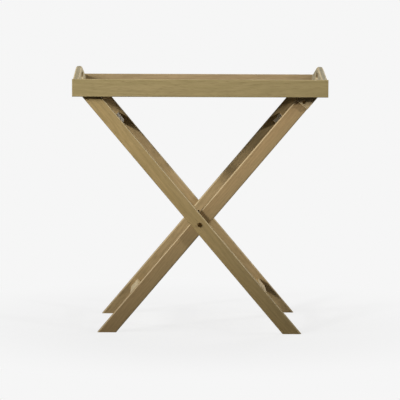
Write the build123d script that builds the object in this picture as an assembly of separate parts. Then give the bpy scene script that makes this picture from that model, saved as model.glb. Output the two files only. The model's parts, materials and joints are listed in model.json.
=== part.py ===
"""Folding wooden tray table: a rimmed tray with crowned end handles on a crossed-leg stand."""
from build123d import *
import os
from math import acos, atan2, cos, degrees, hypot, tan

# Driving dimensions in millimetres, +X along the tray, +Y to the rear, +Z up from the floor

# Tray
tray_length = 600.0       # over the end panels
tray_width = 400.0        # over the long rails
rim_height = 41.0
rail_wall = 14.0          # thickness of the long rails
end_wall = 15.0           # thickness of the end panels
rim_skirt = 8.0           # rim hanging below the underside of the floor
tray_ease = 1.5           # eased edges of the rim
handle_rise = 25.0        # crown of an end panel above the rim
handle_land = 8.0         # level edge of an end panel beside each long rail
crown_radius = 120.0      # rounded top of an end panel
foot_radius = 90.0        # hollow where the slope of an end panel starts
handle_ease = 5.5         # rounded edges of the crown, a full grip for the hand
slot_length = 88.0        # hand slot, end to end
slot_height = 18.0
slot_ease = 1.5           # rounded edges of the hand slot
grip_height = 15.0        # wood left above the hand slot
floor_thick = 7.0
tongue_thick = 4.0        # thinned edge of the floor, flush with its underside
groove_depth = 6.0        # groove in the rim that holds the tongue
corner_dowel_drop = 9.0   # upper corner dowel below the top of the rim
corner_dowel_pitch = 12.0
corner_dowel_in_rail = 10.0
corner_dowel_in_end = 20.0

# Stand
stand_height = 570.0      # level tops of the legs, which carry the tray floor
pivot_height = 260.0
leg_width = 34.0
leg_thick = 20.0
leg_ease = 3.0
rail_width = 25.0         # cross rails, measured along the legs
rail_thick = 12.0
rail_ease = 1.5
upper_rail_drop = 75.0    # centre of the upper rails below the leg tops
lower_rail_height = 75.0  # centre of the lower rails above the floor
rail_dowel_pitch = 12.0
rail_dowel_in_leg = 11.0
rail_dowel_in_rail = 15.0
dowel_diameter = 6.0
block_thick = 10.0        # bearer block on the outer face of an inner leg
block_length = 35.0       # along the middle of the leg, down from its top
block_ease = 2.5

# Hardware
bolt_diameter = 6.0
bolt_head_diameter = 10.5
bolt_head_height = 3.3
bolt_head_round = 2.6
socket_across = 4.0
socket_depth = 2.0
bolt_end_recess = 1.0     # bolt end inside the inner face of the inner leg
insert_diameter = 9.0
insert_length = 12.0
spacer_diameter = 16.0
screw_diameter = 4.0
screw_head_diameter = 6.6
screw_head_height = 2.2
screw_sink = 2.4          # top of the screw head below the face of the block
screw_length = 24.0       # from the face of the block to the tip
screw_tip = 6.0
screw_edge = 8.0          # screw above the lower edge of the block
cross_length = 4.0        # crossed recess in the screw head
cross_width = 1.0
cross_depth = 1.2

# Clearances
tray_play = 1.0           # long rails to the outer faces of the outer legs
stop_play = 0.5           # end panels to the tops of the legs
leg_gap = 1.2             # between crossing legs, filled by the spacer
face_gap = 0.1            # spacer and bolt head to the faces that turn against them
running_fit = 0.1         # radial, bolt in the outer leg and in the spacer
thread_fit = 0.05         # radial, bolt in its insert
press_gap = 0.05          # radial, dowels, inserts and screws in their holes
hole_spare = 0.5          # blind holes deeper than what they hold
tongue_fit = 0.2          # groove higher than the tongue
tongue_spare = 0.5        # groove deeper than the tongue
field_gap = 0.6           # raised field of the floor to the rim
head_gap = 0.3            # radial, screw head in its counterbore

# Derived places
half_length = tray_length / 2
half_width = tray_width / 2
inner_half_length = half_length - end_wall
inner_half_width = half_width - rail_wall
rim_bottom = stand_height - rim_skirt
rim_top = rim_bottom + rim_height
crown_top = rim_top + handle_rise
outer_face = inner_half_width - tray_play       # outer faces of the outer legs
inner_face = outer_face - leg_thick - leg_gap   # outer faces of the inner legs

# The legs open until their top corners stand against the end panels, which sets their lean
leg_reach = inner_half_length - stop_play
leg_rise = stand_height - pivot_height
leg_lean = acos(leg_width / 2 / hypot(leg_reach, leg_rise)) - atan2(leg_rise, leg_reach)


def along_leg(height):
    """Distance from the pivot, along the middle of a leg, to a height above the floor."""
    return (height - pivot_height) / cos(leg_lean)


leg_top = along_leg(stand_height)
leg_foot = along_leg(0)
rail_places = {
    "upper": along_leg(stand_height - upper_rail_drop),
    "lower": along_leg(lower_rail_height),
}
block_foot = leg_top - block_length
screw_at = block_foot + screw_edge

OUTER, INNER = -1, 1                            # which way a leg's top leans along X


def lean(side):
    """Frame at the pivot line with +Z up along the legs of one side."""
    return Pos(0, 0, pivot_height) * Rot(0, side * degrees(leg_lean), 0)


def level_cut(shape, top):
    """Trim a leaning piece level with the floor and with a height."""
    return shape & (Pos(0, 0, top / 2) * Box(2 * tray_length, 2 * tray_width, top))


def facing_rear(y, x=0.0, z=0.0):
    """Frame whose +Z runs to the rear, for bolts, screws and holes driven from the front."""
    return Plane(origin=(x, y, z), x_dir=(1, 0, 0), z_dir=(0, 1, 0))


def rod(radius, length):
    return Cylinder(radius, length, align=(Align.CENTER, Align.CENTER, Align.MIN))


def to_rear(shape):
    return mirror(shape, about=Plane.XZ)


# Cross rails and their dowels, in the leaning frame of one side


def inside_of_leg(side):
    """Distance from the middle plane to the face of a leg that its rails meet."""
    return (outer_face if side == OUTER else inner_face) - leg_thick


def rail_dowels(side, place, spare=0.0, gap=0.0):
    """Two dowels of a rail's front end, or their holes when spare and gap are given."""
    start = -inside_of_leg(side) - rail_dowel_in_leg - spare
    length = rail_dowel_in_leg + rail_dowel_in_rail + 2 * spare
    pin = facing_rear(start) * rod(dowel_diameter / 2 + gap, length)
    offsets = (-rail_dowel_pitch / 2, rail_dowel_pitch / 2)
    return [lean(side) * Pos(0, 0, place + step) * pin for step in offsets]


def rail_holes(side, place):
    return rail_dowels(side, place, spare=hole_spare, gap=press_gap)


def cross_rail(side, place):
    bar = Box(rail_thick, 2 * inside_of_leg(side), rail_width)
    bar = fillet(bar.edges().filter_by(Axis.Y), rail_ease)
    rail = lean(side) * Pos(0, 0, place) * bar
    for hole in rail_holes(side, place):
        rail = rail - hole - to_rear(hole)
    return rail


def frame_dowels(side):
    pins = [pin for place in rail_places.values() for pin in rail_dowels(side, place)]
    return Compound(children=pins + [to_rear(pin) for pin in pins])


# Legs


def leg_bar(side):
    """Leg of the front pair before it is drilled."""
    low, high = leg_foot - leg_width, leg_top + leg_width
    bar = Pos(0, 0, (low + high) / 2) * Box(leg_width, leg_thick, high - low)
    bar = fillet(bar.edges().filter_by(Axis.Z), leg_ease)
    middle = inside_of_leg(side) + leg_thick / 2
    return level_cut(Pos(0, -middle, 0) * lean(side) * bar, stand_height)


def outer_leg():
    hole = facing_rear(-outer_face, z=pivot_height) * rod(bolt_diameter / 2 + running_fit, leg_thick)
    leg = leg_bar(OUTER) - hole
    for place in rail_places.values():
        leg = leg - rail_holes(OUTER, place)
    return leg


def inner_leg():
    start = facing_rear(-inner_face, z=pivot_height)
    leg = leg_bar(INNER) - start * rod(bolt_diameter / 2 + thread_fit, leg_thick)
    leg = leg - start * rod(insert_diameter / 2 + press_gap, insert_length)
    leg = leg - screw_frame() * rod(screw_diameter / 2 + press_gap, screw_length + hole_spare)
    for place in rail_places.values():
        leg = leg - rail_holes(INNER, place)
    return leg


# Bearer block and its screw


def screw_frame():
    """Frame on the front face of the front block, with +Z driving into the leg."""
    return lean(INNER) * Pos(0, -inner_face - block_thick, screw_at) * Rot(-90, 0, 0)


def bearer_block():
    high = leg_top + leg_width
    block = Box(leg_width, block_thick, high - block_foot)
    block = fillet(block.faces().sort_by(Axis.Y)[0].edges(), block_ease)
    block = Pos(0, -inner_face - block_thick / 2, (block_foot + high) / 2) * block
    block = level_cut(lean(INNER) * block, stand_height)
    block = block - screw_frame() * rod(screw_diameter / 2 + press_gap, block_thick)
    return block - screw_frame() * rod(screw_head_diameter / 2 + head_gap, screw_sink + screw_head_height)


def bearer_screw():
    head_under = screw_sink + screw_head_height
    head = Pos(0, 0, screw_sink) * rod(screw_head_diameter / 2, screw_head_height)
    shank = Pos(0, 0, head_under) * rod(screw_diameter / 2, screw_length - screw_tip - head_under)
    tip = Cone(screw_diameter / 2, 0, screw_tip, align=(Align.CENTER, Align.CENTER, Align.MIN))
    screw = head + shank + Pos(0, 0, screw_length - screw_tip) * tip
    slot = Pos(0, 0, screw_sink + cross_depth / 2) * Box(cross_length, cross_width, cross_depth)
    return screw_frame() * (screw - slot - Rot(0, 0, 90) * slot)


# Pivot


def pivot_bolt():
    """Domed socket-head bolt through the outer leg into the insert of the inner leg."""
    length = 2 * leg_thick + leg_gap + face_gap - bolt_end_recess
    head = Cylinder(
        bolt_head_diameter / 2, bolt_head_height, align=(Align.CENTER, Align.CENTER, Align.MAX)
    )
    head = fillet(head.edges().group_by(Axis.Z)[0], bolt_head_round)
    socket = extrude(RegularPolygon(socket_across / 2, 6, major_radius=False), socket_depth)
    bolt = head + rod(bolt_diameter / 2, length) - Pos(0, 0, -bolt_head_height) * socket
    return facing_rear(-outer_face - face_gap, z=pivot_height) * bolt


def pivot_spacer():
    thick = leg_gap - 2 * face_gap
    ring = rod(spacer_diameter / 2, thick) - rod(bolt_diameter / 2 + running_fit, thick)
    return facing_rear(-outer_face + leg_thick + face_gap, z=pivot_height) * ring


def pivot_insert():
    sleeve = rod(insert_diameter / 2, insert_length) - rod(bolt_diameter / 2 + thread_fit, insert_length)
    return facing_rear(-inner_face, z=pivot_height) * sleeve


# Tray


def floor_groove():
    """Space cut out of the rim for the tongue of the floor."""
    height = tongue_thick + tongue_fit
    box = Box(2 * (inner_half_length + groove_depth), 2 * (inner_half_width + groove_depth), height)
    return Pos(0, 0, stand_height + height / 2) * box


def tray_floor():
    reach = groove_depth - tongue_spare
    tongue = Box(2 * (inner_half_length + reach), 2 * (inner_half_width + reach), tongue_thick)
    field = Box(2 * (inner_half_length - field_gap), 2 * (inner_half_width - field_gap), floor_thick)
    lift = stand_height
    return Pos(0, 0, lift + tongue_thick / 2) * tongue + Pos(0, 0, lift + floor_thick / 2) * field


def corner_dowels(spare=0.0, gap=0.0):
    """Dowels of the two front corners, or their holes when spare and gap are given."""
    start = -inner_half_width - corner_dowel_in_rail - spare
    length = corner_dowel_in_rail + corner_dowel_in_end + 2 * spare
    pins = []
    for x in (-half_length + end_wall / 2, half_length - end_wall / 2):
        for drop in (corner_dowel_drop, corner_dowel_drop + corner_dowel_pitch):
            pins.append(facing_rear(start, x, rim_top - drop) * rod(dowel_diameter / 2 + gap, length))
    return pins


def tray_front_rail():
    rail = Box(tray_length, rail_wall, rim_height)
    front_edges = rail.faces().sort_by(Axis.Y)[0].edges()
    inner_top_edge = rail.faces().sort_by(Axis.Z)[-1].edges().sort_by(Axis.Y)[-1]
    rail = fillet([*front_edges, inner_top_edge], tray_ease)
    rail = Pos(0, -half_width + rail_wall / 2, rim_bottom + rim_height / 2) * rail
    for hole in corner_dowels(spare=hole_spare, gap=press_gap):
        rail = rail - hole
    return rail - floor_groove()


def end_outline():
    """Outline of an end panel: level beside the rails, sloping up to a rounded crown."""
    run = inner_half_width - handle_land
    fall = crown_radius - handle_rise
    slope = atan2(run, fall) - acos(crown_radius / hypot(run, fall))
    peak = rim_top + run * tan(slope)
    top = FilletPolyline(
        (-inner_half_width, rim_top), (-run, rim_top), (0, peak), (run, rim_top),
        (inner_half_width, rim_top), radius=[foot_radius, crown_radius, foot_radius],
    )
    base = Polyline(
        (inner_half_width, rim_top), (inner_half_width, rim_bottom),
        (-inner_half_width, rim_bottom), (-inner_half_width, rim_top),
    )
    return make_face(top + base)


def tray_right_end():
    panel = extrude(Plane.YZ.offset(inner_half_length) * end_outline(), end_wall)
    sides = panel.faces().filter_by(Axis.X)
    near_top = rim_top - tray_ease
    crown_edges = [edge for edge in sides.edges() if edge.center().Z > near_top]
    panel = fillet(crown_edges, handle_ease)
    foot_edge = panel.faces().sort_by(Axis.X)[-1].edges().sort_by(Axis.Z)[0]
    panel = fillet(foot_edge, tray_ease)
    slot_middle = crown_top - grip_height - slot_height / 2
    slot = extrude(Plane.YZ * Pos(0, slot_middle) * SlotOverall(slot_length, slot_height), tray_length)
    panel = panel - slot
    mouths = [wire for side in panel.faces().filter_by(Axis.X) for wire in side.inner_wires()]
    panel = fillet([edge for mouth in mouths for edge in mouth.edges()], slot_ease)
    for hole in corner_dowels(spare=hole_spare, gap=press_gap):
        panel = panel - hole - to_rear(hole)
    return panel - floor_groove()


# Write every piece to its own file

front_pins = corner_dowels()
front_rail = tray_front_rail()
right_end = tray_right_end()
pieces = {
    "tray_front_rail": front_rail,
    "tray_back_rail": to_rear(front_rail),
    "tray_right_end": right_end,
    "tray_left_end": mirror(right_end, about=Plane.YZ),
    "tray_floor": tray_floor(),
    "tray_corner_dowels": Compound(children=front_pins + [to_rear(pin) for pin in front_pins]),
}
for name, side in (("outer", OUTER), ("inner", INNER)):
    for level, place in rail_places.items():
        pieces[f"{name}_{level}_rail"] = cross_rail(side, place)
    pieces[f"{name}_rail_dowels"] = frame_dowels(side)
paired = {
    "outer_leg": outer_leg(),
    "inner_leg": inner_leg(),
    "bearer_block": bearer_block(),
    "bearer_screw": bearer_screw(),
    "pivot_bolt": pivot_bolt(),
    "pivot_spacer": pivot_spacer(),
    "pivot_insert": pivot_insert(),
}
for name, shape in paired.items():
    pieces[f"{name}_front"] = shape
    pieces[f"{name}_rear"] = to_rear(shape)

os.makedirs("parts", exist_ok=True)
for name, shape in pieces.items():
    export_step(shape, f"parts/{name}.step")
print(f"legs lean {degrees(leg_lean):.2f} degrees, crown {crown_top:.1f} mm above the floor")
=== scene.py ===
# %% [markdown]
# # A folding tray table in oiled hardwood
#
# The table is a rimmed serving tray that lies loose on a folding X stand. Every piece of it is
# rigid and already has its true shape in the CAD model, so nothing is modelled over here. What
# this lesson adds is what CAD leaves out: a photographer's corner, and wood and metal that look
# like the real ones.
#
# The CAD nodes arrive with their place in their meshes and their objects at the origin. So Object
# coordinates are metres in the table's own frame, which all the patterns below rely on.

import json
import math

import bpy
from mathutils import Euler, Matrix, Vector


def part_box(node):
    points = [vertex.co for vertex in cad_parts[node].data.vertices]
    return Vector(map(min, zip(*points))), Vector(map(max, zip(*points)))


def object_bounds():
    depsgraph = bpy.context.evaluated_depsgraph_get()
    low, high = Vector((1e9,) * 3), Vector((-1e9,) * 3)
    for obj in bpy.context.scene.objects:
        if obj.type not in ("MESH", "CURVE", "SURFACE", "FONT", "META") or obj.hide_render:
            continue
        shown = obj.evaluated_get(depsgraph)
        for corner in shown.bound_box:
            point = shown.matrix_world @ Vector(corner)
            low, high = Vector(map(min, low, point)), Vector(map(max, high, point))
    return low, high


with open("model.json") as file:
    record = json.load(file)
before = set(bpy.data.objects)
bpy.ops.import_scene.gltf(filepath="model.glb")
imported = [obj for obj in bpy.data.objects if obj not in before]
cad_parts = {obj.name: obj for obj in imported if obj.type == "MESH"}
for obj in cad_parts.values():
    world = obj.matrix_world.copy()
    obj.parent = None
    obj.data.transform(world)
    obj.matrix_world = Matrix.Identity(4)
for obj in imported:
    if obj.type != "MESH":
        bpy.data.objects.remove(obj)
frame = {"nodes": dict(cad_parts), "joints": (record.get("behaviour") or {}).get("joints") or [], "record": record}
nodes = frame["nodes"]
millimetre = 0.001                     # Blender counts in metres
cad_low, cad_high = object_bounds()
cad_size = [round(side / millimetre, 1) for side in cad_high - cad_low]
print("CAD box in mm:", cad_size, "from", len(nodes), "nodes")

# %% [markdown]
# ## The camera
#
# The picture was taken from far back with a long lens: the far legs are almost as large as the
# near ones. The pose was found by matching the table's corners. A camera starts out looking down
# its own -Z axis, so it is raised to look along +Y and then turned. A small roll stands last in
# the product, and so acts first, because it happens about the lens itself.

# %% Place the camera
picture_side = 400                     # pixels, the picture is square
focal_pixels = 2093                    # focal length in pixels, from the corners
eye = Vector((-0.0494, -5.0968, 0.7790))
look_down = math.radians(5.349)
look_right = math.radians(0.582)
lens_roll = math.radians(0.235)

camera_data = bpy.data.cameras.new("camera")
camera = bpy.data.objects.new("camera", camera_data)
bpy.context.scene.collection.objects.link(camera)
bpy.context.scene.camera = camera
camera_data.sensor_width = 36.0
camera_data.lens = camera_data.sensor_width * focal_pixels / picture_side
camera_data.clip_end = 200.0
camera.matrix_world = (
    Matrix.Translation(eye)
    @ Matrix.Rotation(-look_right, 4, "Z")
    @ Matrix.Rotation(math.pi / 2 - look_down, 4, "X")
    @ Matrix.Rotation(lens_roll, 4, "Z")
)
bpy.context.scene.view_settings.view_transform = "Standard"
print("lens in mm:", round(camera_data.lens, 1), "at", round(eye.length, 2), "m")

# %% [markdown]
# ## Two small helpers
#
# Colours are easiest to choose and to compare as the hex values that a picture editor shows, but
# shaders count light, which is linear. One function turns the one into the other. The second adds
# any node: its options are given as settings, and each input is either a value or another node's
# output, which is then linked.

# %% Colour and node helpers
def linear(hex_colour):
    """An sRGB hex colour as the linear RGBA that a shader's socket takes."""
    channels = [int(hex_colour[i:i + 2], 16) / 255 for i in (1, 3, 5)]
    return [c / 12.92 if c <= 0.04045 else ((c + 0.055) / 1.055) ** 2.4 for c in channels] + [1.0]


def add(tree, kind, inputs, **settings):
    """Adds a shader node, sets its options, and sets or links each of its inputs."""
    made = tree.nodes.new("ShaderNode" + kind)
    for option, value in settings.items():
        setattr(made, option, value)
    for socket, value in inputs.items():
        if isinstance(value, bpy.types.NodeSocket):
            tree.links.new(value, made.inputs[socket])
        else:
            made.inputs[socket].default_value = value
    return made


backdrop_grey = linear("#f6f6f6")
print("the background's grey in linear light:", round(backdrop_grey[0], 3))

# %% [markdown]
# ## The studio: a pale floor and an even background
#
# A catalogue picture has one even pale grey behind the object. Lighting a real backdrop that
# evenly takes a lot of light, which would also fall on the table, so here the floor and the world
# show that grey only to rays that come from the camera or from a reflection. To all other rays the
# world is a dim dome, brighter above, and the floor a dull grey that throws little light back up,
# because the undersides of the real table are dark. Near the feet, part of the floor's colour
# comes from the lamps, so the table keeps a soft shadow there.

# %% World
def seen_ray(tree):
    """1 for rays that show the background: from the camera, a reflection or through glass."""
    path = add(tree, "LightPath", {})
    mirrored = add(tree, "Math", {0: path.outputs["Is Camera Ray"],
                                  1: path.outputs["Is Glossy Ray"]}, operation="MAXIMUM")
    seen = add(tree, "Math", {0: mirrored.outputs[0], 1: path.outputs["Is Transmission Ray"]},
               operation="MAXIMUM")
    return seen.outputs[0]


dome_top, dome_low = 0.03, 0.01        # strength of the dome overhead, and at the horizon and below
scene_world = bpy.data.worlds.new("studio")
bpy.context.scene.world = scene_world
scene_world.use_nodes = True
tree = scene_world.node_tree
tree.nodes.clear()
direction = add(tree, "TexCoord", {})
height = add(tree, "SeparateXYZ", {0: direction.outputs["Generated"]})
dome_level = add(tree, "MapRange", {"Value": height.outputs["Z"], "To Min": dome_low,
                                    "To Max": dome_top})
dome = add(tree, "Background", {"Color": linear("#ffffff"), "Strength": dome_level.outputs[0]})
backdrop = add(tree, "Background", {"Color": backdrop_grey, "Strength": 1.0})
world_mix = add(tree, "MixShader", {0: seen_ray(tree), 1: dome.outputs[0], 2: backdrop.outputs[0]})
add(tree, "OutputWorld", {"Surface": world_mix.outputs[0]})
print("world:", len(tree.nodes), "nodes")

# %% Floor paint
def blank_material(name):
    """A new material whose node tree is still empty."""
    material = bpy.data.materials.new(name)
    material.use_nodes = True
    material.node_tree.nodes.clear()
    return material


shadow_share = 0.22                    # how much of the floor's look near the feet is real light
fade_start, fade_end = 0.30, 0.80      # metres from the middle between which that share fades out
lamp_lack = 0.20                       # share of the grey that the lamps alone don't reach there
painted_floor = blank_material("painted_floor")
painted_floor.cycles.emission_sampling = "NONE"    # the even glow is a look and lights nothing
tree = painted_floor.node_tree
place = add(tree, "TexCoord", {})
reach = add(tree, "VectorMath", {0: place.outputs["Object"]}, operation="LENGTH")
share = add(tree, "MapRange", {"Value": reach.outputs["Value"], "From Min": fade_start,
                               "From Max": fade_end, "To Min": shadow_share, "To Max": 0.0},
            interpolation_type="SMOOTHSTEP")
even = add(tree, "Emission", {"Color": backdrop_grey, "Strength": 1.0})
lit = add(tree, "BsdfDiffuse", {"Color": backdrop_grey})
made_up = add(tree, "Emission", {"Color": backdrop_grey, "Strength": lamp_lack})
level = add(tree, "AddShader", {0: lit.outputs[0], 1: made_up.outputs[0]})
shown = add(tree, "MixShader", {0: share.outputs[0], 1: even.outputs[0], 2: level.outputs[0]})
dull = add(tree, "BsdfDiffuse", {"Color": linear("#6e6c68")})
floor_mix = add(tree, "MixShader", {0: seen_ray(tree), 1: dull.outputs[0], 2: shown.outputs[0]})
add(tree, "OutputMaterial", {"Surface": floor_mix.outputs[0]})
print("floor paint:", len(tree.nodes), "nodes")

# %% Floor
floor_radius = 60.0                    # metres, far enough to meet the horizon in the same grey
bpy.ops.object.select_all(action="DESELECT")
bpy.ops.mesh.primitive_circle_add(vertices=128, radius=floor_radius, fill_type="NGON")
floor = bpy.context.active_object
floor.name = "studio_floor"
floor.data.materials.append(painted_floor)
print("floor radius in m:", floor_radius)

# %% [markdown]
# ## The lamps
#
# The shadows say where the lamps stood. The front leg throws its shadow to the right, on the leg
# behind it. The shadow's width over its depth puts the main lamp 45 degrees to the left and 17
# degrees up. Both ends of the back rail's inner face are in shadow, so a weaker lamp stands on the
# right. The feet are darker than the tray, so both are spot lamps, aimed high. A spot's edge is
# its beam, and with a full blend it fades all the way from the middle. The wider a spot, the
# softer its shadows.
#
# Large soft boxes do the rest. One on each side draws the pale line along the rounded edges of the
# legs, one overhead lifts the top faces a little, and one behind keeps the back readable when the
# table is turned round.

# %% Lamps
def hang(data, place, aim):
    """Hangs a lamp at a place and turns it to face a point."""
    lamp = bpy.data.objects.new(data.name, data)
    bpy.context.scene.collection.objects.link(lamp)
    lamp.location = place
    lamp.rotation_euler = (Vector(aim) - Vector(place)).to_track_quat("-Z", "Y").to_euler()
    return lamp


def soft_spot(name, place, aim, width, watts, beam):
    """A round spot lamp of some width, fading towards the edge of its beam in degrees."""
    data = bpy.data.lights.new(name, "SPOT")
    data.shadow_soft_size = width / 2
    data.energy = watts
    data.spot_size = math.radians(beam)
    data.spot_blend = 1.0
    return hang(data, place, aim)


def soft_box(name, place, aim, side, watts):
    """A large square lamp that shines all round the side it faces."""
    data = bpy.data.lights.new(name, "AREA")
    data.shape = "SQUARE"
    data.size = side
    data.energy = watts
    return hang(data, place, aim)


tray_left, tray_top = (-0.08, -0.15, 0.70), (0.0, -0.15, 0.75)
stand_top, stand_middle = (0.0, 0.0, 0.60), (0.0, 0.0, 0.40)
lamps = (
    soft_spot("main_lamp", (-3.06, -3.13, 1.99), tray_left, width=0.55, watts=593.0, beam=20.0),
    soft_spot("right_lamp", (3.72, -2.10, 2.04), tray_top, width=0.35, watts=386.0, beam=20.5),
    soft_box("left_box", (-3.1, -1.5, 1.9), stand_top, side=2.2, watts=70.0),
    soft_box("right_box", (3.2, 0.1, 1.7), stand_top, side=2.2, watts=46.0),
    soft_box("top_box", (0.0, 0.9, 2.2), stand_middle, side=1.2, watts=3.0),
    soft_box("back_box", (0.9, 2.4, 1.3), stand_middle, side=1.4, watts=22.0),
)
print("lamps:", [lamp.name for lamp in lamps])

# %% [markdown]
# ## Where the grain runs
#
# Timber is strong along its grain, so a maker runs the grain down the length of each piece: up the
# legs, along the long rim rails, and across the table on the end panels and cross rails. The legs'
# lean could be typed in, but it follows from the frame: a leg passes through the pivot and reaches
# the floor at a foot. The cross rails lean with the legs they join.

# %% Grain directions
hinge = next(joint for joint in frame["joints"] if joint["name"] == "stand_fold")
pivot_height = hinge["pos_m"][2]
foot = next(mount for mount in frame["record"]["mounts"] if mount["name"] == "foot_outer_front")
leg_lean = math.atan2(abs(foot["pos_m"][0]), pivot_height)

along_length = Euler((0.0, 0.0, 0.0))                       # left to right
along_depth = Euler((0.0, 0.0, -math.pi / 2))               # front to back
up_outer_leg = Euler((0.0, math.pi / 2 + leg_lean, 0.0))    # top of the leg to the left
up_inner_leg = Euler((0.0, math.pi / 2 - leg_lean, 0.0))    # top of the leg to the right
along_outer_rail = Euler((0.0, leg_lean, -math.pi / 2))     # front to back, leaning with the legs
along_inner_rail = Euler((0.0, -leg_lean, -math.pi / 2))
print("the legs lean", round(math.degrees(leg_lean), 2), "degrees")

# %% [markdown]
# ## Oiled hardwood: a board cut from a log
#
# The wood is a close-grained plantation hardwood, stained olive brown and finished with satin oil.
# A flat wood picture would need stretching over every face and would not turn the corner to the
# end grain. Instead each board is cut out of a solid log, in shader nodes: rings about the log's
# heart, wandering a little along its length, with fine streaks and pores drawn out along the
# grain. A Mapping node turns the log to the board's grain and shifts it, so each board has its own
# place in its own log and no two look the same.

# %% The log
ring_width = 6.5 * millimetre          # yearly growth, fast-grown timber
streak_width = 2.6 * millimetre        # bundles of fibres
pore_width = 0.9 * millimetre          # real pores are 0.2 mm: drawn coarser, so that they show
drift_width = 45.0 * millimetre        # slow change of colour over a board
fibre_pace, trunk_pace = 0.05, 0.15    # change along the grain, against 1 across: streaks, rings
ring_wander = 30.0                     # how far the rings leave a true circle
ring_unit = math.pi / 10               # Blender's ring pattern repeats every 2 pi / 20 of a unit


def log_patterns(tree, place, grain_turn, middle, log_place):
    """Rings, streaks, pores and drift of a log in which the board's middle lies at a place."""
    in_log = log_place - grain_turn.to_matrix() @ middle
    board = add(tree, "Mapping", {"Vector": place.outputs["Object"], "Rotation": grain_turn,
                                  "Location": in_log})
    fibre = add(tree, "Mapping", {"Vector": board.outputs[0], "Scale": (fibre_pace, 1.0, 1.0)})
    trunk = add(tree, "Mapping", {"Vector": board.outputs[0], "Scale": (trunk_pace, 1.0, 1.0)})
    rings = add(tree, "TexWave", {"Vector": trunk.outputs[0], "Scale": ring_unit / ring_width,
                                  "Distortion": ring_wander, "Detail": 3.0, "Detail Scale": 0.3,
                                  "Detail Roughness": 0.6},
                wave_type="RINGS", rings_direction="X", wave_profile="SIN")
    streaks = add(tree, "TexNoise", {"Vector": fibre.outputs[0], "Scale": 1 / streak_width,
                                     "Detail": 3.0, "Roughness": 0.6})
    pores = add(tree, "TexNoise", {"Vector": fibre.outputs[0], "Scale": 1 / pore_width,
                                   "Detail": 1.0})
    drift = add(tree, "TexNoise", {"Vector": fibre.outputs[0], "Scale": 1 / drift_width,
                                   "Detail": 2.0})
    return [pattern.outputs["Fac"] for pattern in (rings, streaks, pores, drift)]


print("growth rings in mm:", round(ring_width / millimetre, 1))

# %% [markdown]
# ## Oiled hardwood: the stain
#
# Stain brings out what the log holds. The dense summer wood of each ring is a little darker than
# its spring wood, bundles of fibres streak both, and open pores fill up and stay dark. The colour
# also drifts slowly over a board. One wood picture would fix all of that at once. Here each is a
# layer over the last, so that each can be matched to the real wood by itself.

# %% Stained grain
MIX_A, MIX_B, MIX_OUT = 6, 7, 2        # the colour sockets of a Mix node
streak_low, streak_high = 0.25, 0.75   # levels of the streak noise that count as least and most
streak_dark, streak_light = 0.86, 1.12     # tone of the streaks at those levels
drift_low, drift_high = 0.3, 0.7       # levels of the drift noise that count as least and most
drift_brown, drift_most = linear("#9c8a62"), 0.5    # what a board drifts to, and how far
pore_edge, pore_heart = 0.58, 0.72     # levels of the pore noise where a pore begins and is darkest
pore_brown, pore_most = linear("#5c4a2c"), 0.35     # stain in the pores, and how far it covers


def stained_grain(tree, rings, streaks, pores, drift, stain, tone):
    """Spring and summer wood in a stain's two colours, with streaks, drift and pores over them."""
    spring, summer = stain
    grain = add(tree, "Mix", {0: rings, MIX_A: linear(spring), MIX_B: linear(summer)},
                data_type="RGBA")
    streak_level = add(tree, "MapRange", {"Value": streaks, "From Min": streak_low,
                                          "From Max": streak_high, "To Min": streak_dark * tone,
                                          "To Max": streak_light * tone})
    streaked = add(tree, "VectorMath", {0: grain.outputs[MIX_OUT], 1: streak_level.outputs[0]},
                   operation="MULTIPLY")
    drift_level = add(tree, "MapRange", {"Value": drift, "From Min": drift_low,
                                         "From Max": drift_high, "To Max": drift_most})
    drifted = add(tree, "Mix", {0: drift_level.outputs[0], MIX_A: streaked.outputs[0],
                                MIX_B: drift_brown}, data_type="RGBA")
    pore_level = add(tree, "MapRange", {"Value": pores, "From Min": pore_edge,
                                        "From Max": pore_heart, "To Max": pore_most})
    pored = add(tree, "Mix", {0: pore_level.outputs[0], MIX_A: drifted.outputs[MIX_OUT],
                              MIX_B: pore_brown}, data_type="RGBA")
    return pored.outputs[MIX_OUT]


print("streaks run from", streak_dark, "to", streak_light, "of a board's tone")

# %% [markdown]
# ## Oiled hardwood: wear and painted highlight
#
# The finish differs where the board is cut or touched, and where light catches its edges. End grain drinks more
# oil and is darker. The rounded arrises are painted paler: partly rubbed wear, and partly a painted highlight,
# strongest on those that face up, where the light falls from above. It could be painted on by hand, but the
# normals already say where it goes: turned to the board's own axes, a normal along the grain stands on end grain,
# and one between two axes on an arris.

# %% End grain and arrises
end_begin, end_full = 0.80, 0.95       # share of the normal that lies along the grain
end_brown, end_most = linear("#6a5434"), 0.8        # oiled end grain, and how far it gets there
arris_begin, arris_full = 0.985, 0.85  # share of the normal that still lies along one axis
faces_down, faces_up = 0.05, 0.40      # upward share of the normal of a lower and an upper arris
wear_highlight_pale = linear("#d2bf98")        # where the stain is rubbed through, and painted highlight on the arrises


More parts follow.
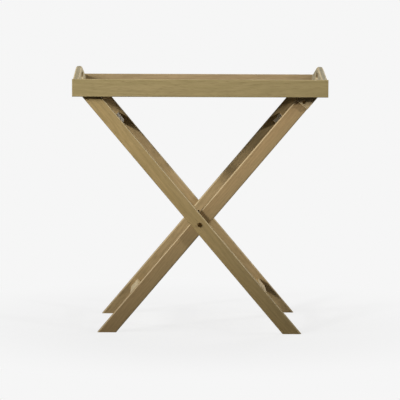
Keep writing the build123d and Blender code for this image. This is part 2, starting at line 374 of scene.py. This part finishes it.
def worn_highlit_wood(tree, place, stained, grain_turn, wear_highlight):
    """Stained wood with end grain, and arrises painted paler by wear and painted highlight, below and above."""
    wear_highlight_below, wear_highlight_above = wear_highlight
    facing = add(tree, "Mapping", {"Vector": place.outputs["Normal"], "Rotation": grain_turn},
                 vector_type="VECTOR")
    either_way = add(tree, "VectorMath", {0: facing.outputs[0]}, operation="ABSOLUTE")
    axes = add(tree, "SeparateXYZ", {0: either_way.outputs[0]})
    flattest = add(tree, "Math", {0: axes.outputs["Y"], 1: axes.outputs["Z"]}, operation="MAXIMUM")
    arris = add(tree, "MapRange", {"Value": flattest.outputs[0], "From Min": arris_begin,
                                   "From Max": arris_full})
    outward = add(tree, "SeparateXYZ", {0: place.outputs["Normal"]})
    # painted highlight: arrises that face up are painted paler than those that face down
    wear_and_top_light = add(tree, "MapRange", {"Value": outward.outputs["Z"], "From Min": faces_down,
                                   "From Max": faces_up, "To Min": wear_highlight_below, "To Max": wear_highlight_above})
    wear_highlight_level = add(tree, "Math", {0: arris.outputs[0], 1: wear_and_top_light.outputs[0]}, operation="MULTIPLY")
    worn_and_highlit = add(tree, "Mix", {0: wear_highlight_level.outputs[0], MIX_A: stained, MIX_B: wear_highlight_pale},
                 data_type="RGBA")
    end_level = add(tree, "MapRange", {"Value": axes.outputs["X"], "From Min": end_begin,
                                       "From Max": end_full, "To Max": end_most})
    ended = add(tree, "Mix", {0: end_level.outputs[0], MIX_A: worn_and_highlit.outputs[MIX_OUT],
                              MIX_B: end_brown}, data_type="RGBA")
    return ended.outputs[MIX_OUT]


arris_turn = math.degrees(math.acos(arris_begin))
print("rubbing begins", round(arris_turn), "degrees off a face")

# %% [markdown]
# ## Oiled hardwood: the oil
#
# Satin oil lies smoother on the hard streaks, which stand a little proud after sanding. So one
# streak pattern sets both the gloss and a slight bump. A board's middle is the middle of its CAD
# box, which keeps the log in place on the board when a size changes.

# %% The finished wood
oil_low, oil_high = 0.2, 0.8           # levels of the streak noise on soft and on hard streaks
soft_roughness, hard_roughness = 0.80, 0.68
sanded_relief, relief_strength = 0.10 * millimetre, 0.10
wood_ior = 1.5                         # of wood fibre and of dry oil


def oiled_hardwood(name, middle, stain, grain_turn, log_place, tone, wear_highlight, sheen):
    """Olive brown oiled hardwood for one board, cut from its own place in a log."""
    wood = blank_material(name)
    tree = wood.node_tree
    place = add(tree, "TexCoord", {})
    rings, streaks, pores, drift = log_patterns(tree, place, grain_turn, middle, log_place)
    stained = stained_grain(tree, rings, streaks, pores, drift, stain, tone)
    gloss = add(tree, "MapRange", {"Value": streaks, "From Min": oil_low, "From Max": oil_high,
                                   "To Min": soft_roughness, "To Max": hard_roughness})
    relief = add(tree, "Bump", {"Height": streaks, "Strength": relief_strength,
                                "Distance": sanded_relief})
    surface = add(tree, "BsdfPrincipled",
                  {"Base Color": worn_highlit_wood(tree, place, stained, grain_turn, wear_highlight),
                   "Roughness": gloss.outputs[0], "IOR": wood_ior, "Specular IOR Level": sheen,
                   "Normal": relief.outputs[0]})
    add(tree, "OutputMaterial", {"Surface": surface.outputs[0]})
    return wood


print("satin oil: roughness", hard_roughness, "to", soft_roughness)

# %% Cut each board from its own log
def dress(node, material):
    """Gives a CAD node its finish."""
    for material_slot in nodes[node].material_slots:
        material_slot.material = material


# spring and summer wood: the same stain takes differently on each board
olive, brown, tan = ("#a89669", "#9d8d60"), ("#ae9566", "#a48c5d"), ("#b0966d", "#a68d64")
# the ashen and pale stains are greyer than the wood: a painted sheen, the pale surroundings mirrored at a glancing
# angle
rosy, grey, ashen_sheen = ("#b2946a", "#a88b62"), ("#ad9775", "#a38e6c"), ("#a39b83", "#999179")
pale_sheen = ("#c4b28c", "#b9a781")
worn_sheen, kept_sheen = 0.08, 0.40    # gloss of the oil where hands rub it, and on cross rails
# how pale the arrises that face down, and those that face up, are: rubbed wear and painted highlight
rim_wear_highlight, leg_wear_highlight, block_wear_highlight = (0.1, 0.15), (0.0, 0.95), (0.9, 0.9)
grip_wear_highlight, rail_wear_highlight = (0.25, 0.62), (0.25, 0.62)
# node: stain, grain, place in the log in mm (along it, then from its heart), tone, rub and highlight
boards = {
    "tray_front_rail": (olive, along_length, (150, 55, 30), 0.98, rim_wear_highlight),
    "tray_back_rail": (grey, along_length, (900, 60, -25), 0.89, rim_wear_highlight),
    # the tray ends' ashen grey is a painted sheen over the stain
    "tray_left_end": (ashen_sheen, along_depth, (300, 48, 20), 1.12, grip_wear_highlight),
    "tray_right_end": (ashen_sheen, along_depth, (1250, 52, -36), 0.92, grip_wear_highlight),
    "tray_floor": (olive, along_length, (700, 30, 260), 1.00, rim_wear_highlight),
    "outer_leg_front": (brown, up_outer_leg, (500, 45, 38), 1.02, leg_wear_highlight),
    # the rear legs' tones are raised a little: painted light, as they get less lamp light
    "outer_leg_rear": (tan, up_outer_leg, (1400, 58, 12), 1.09, leg_wear_highlight),
    "inner_leg_front": (rosy, up_inner_leg, (2000, 36, 50), 1.01, leg_wear_highlight),
    # raised tone: painted light, as this rear leg gets less lamp light
    "inner_leg_rear": (tan, up_inner_leg, (2800, 60, 22), 1.12, leg_wear_highlight),
    # the pale rails' grey and high tones are a painted sheen, the surroundings mirrored by their oil
    "outer_upper_rail": (pale_sheen, along_outer_rail, (250, 40, 30), 0.85, rail_wear_highlight),
    "outer_lower_rail": (brown, along_outer_rail, (850, 34, 42), 0.90, rail_wear_highlight),
    "inner_upper_rail": (pale_sheen, along_inner_rail, (1650, 52, 15), 1.45, rail_wear_highlight),
    "inner_lower_rail": (pale_sheen, along_inner_rail, (2350, 28, 55), 1.30, rail_wear_highlight),
    # this block's tone is raised as painted light, to lighten the rim's shadow that falls on it
    "bearer_block_front": (grey, up_inner_leg, (3300, 40, 44), 1.30, block_wear_highlight),
    "bearer_block_rear": (olive, up_inner_leg, (3600, 44, 30), 0.98, block_wear_highlight),
}
for node, (stain, grain_turn, log_place, tone, wear_highlight) in boards.items():
    low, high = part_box(node)
    sheen = kept_sheen if node.endswith(("upper_rail", "lower_rail")) else worn_sheen
    dress(node, oiled_hardwood("oiled_hardwood_" + node, (low + high) / 2, stain, grain_turn,
                               Vector(log_place) * millimetre, tone, wear_highlight, sheen))
print("boards cut:", len(boards))

# %% [markdown]
# ## Dowels
#
# Glued dowels hold the corners and the cross rails. They are turned from beech, left bare, and lie
# out of sight inside the joints. Beech is pale and pinkish with short flecks along the grain. A
# plain colour would do while they are hidden, but a part may also be shown taken apart.

# %% Turned beech
fleck_width = 0.8 * millimetre
fleck_pace = 0.15                      # change along the dowels, against 1 across
turned_beech = blank_material("turned_beech")
tree = turned_beech.node_tree
place = add(tree, "TexCoord", {})
fibre = add(tree, "Mapping", {"Vector": place.outputs["Object"], "Scale": (1.0, fleck_pace, 1.0)})
flecks = add(tree, "TexNoise", {"Vector": fibre.outputs[0], "Scale": 1 / fleck_width,
                                "Detail": 2.0})
grain = add(tree, "Mix", {0: flecks.outputs["Fac"], MIX_A: linear("#d8b690"),
                          MIX_B: linear("#b98f66")}, data_type="RGBA")
dents = add(tree, "Bump", {"Height": flecks.outputs["Fac"], "Strength": 0.2,
                           "Distance": 0.1 * millimetre})
surface = add(tree, "BsdfPrincipled", {"Base Color": grain.outputs[MIX_OUT], "Roughness": 0.65,
                                       "IOR": wood_ior, "Normal": dents.outputs[0]})
add(tree, "OutputMaterial", {"Surface": surface.outputs[0]})
for node in ("tray_corner_dowels", "outer_rail_dowels", "inner_rail_dowels"):
    dress(node, turned_beech)
print("dowels dressed in", turned_beech.name)

# %% [markdown]
# ## Fittings
#
# The pivot bolts and block screws are blackened steel: a thin brown-black oxide, still metallic,
# with a cloudy sheen. The washers and threaded sleeves behind them are zinc plated. Both are the
# same kind of surface, a metal whose gloss is uneven, so one function makes both.

# %% Plated steel
cloud_width = 1.4 * millimetre         # size of the cloudy patches in the plating
cloud_low, cloud_high = 0.3, 0.7       # levels of the cloud noise that count as least and most


def plated_steel(name, thin, thick, smooth, rough):
    """Steel under a plating of uneven thickness, between two colours and two roughnesses."""
    metal = blank_material(name)
    tree = metal.node_tree
    place = add(tree, "TexCoord", {})
    clouds = add(tree, "TexNoise", {"Vector": place.outputs["Object"], "Scale": 1 / cloud_width,
                                    "Detail": 3.0, "Roughness": 0.6})
    colour = add(tree, "Mix", {0: clouds.outputs["Fac"], MIX_A: linear(thin),
                               MIX_B: linear(thick)}, data_type="RGBA")
    gloss = add(tree, "MapRange", {"Value": clouds.outputs["Fac"], "From Min": cloud_low,
                                   "From Max": cloud_high, "To Min": smooth, "To Max": rough})
    surface = add(tree, "BsdfPrincipled", {"Base Color": colour.outputs[MIX_OUT], "Metallic": 1.0,
                                           "Roughness": gloss.outputs[0]})
    add(tree, "OutputMaterial", {"Surface": surface.outputs[0]})
    return metal


blackened_steel = plated_steel("blackened_steel", "#4c3617", "#1a1208", smooth=0.18, rough=0.34)
zinc_plate = plated_steel("zinc_plate", "#b9bcbd", "#9a9da0", smooth=0.28, rough=0.42)
for end in ("front", "rear"):
    dress("pivot_bolt_" + end, blackened_steel)
    dress("bearer_screw_" + end, blackened_steel)
    dress("pivot_spacer_" + end, zinc_plate)
    dress("pivot_insert_" + end, zinc_plate)
print("fittings dressed in", blackened_steel.name, "and", zinc_plate.name)
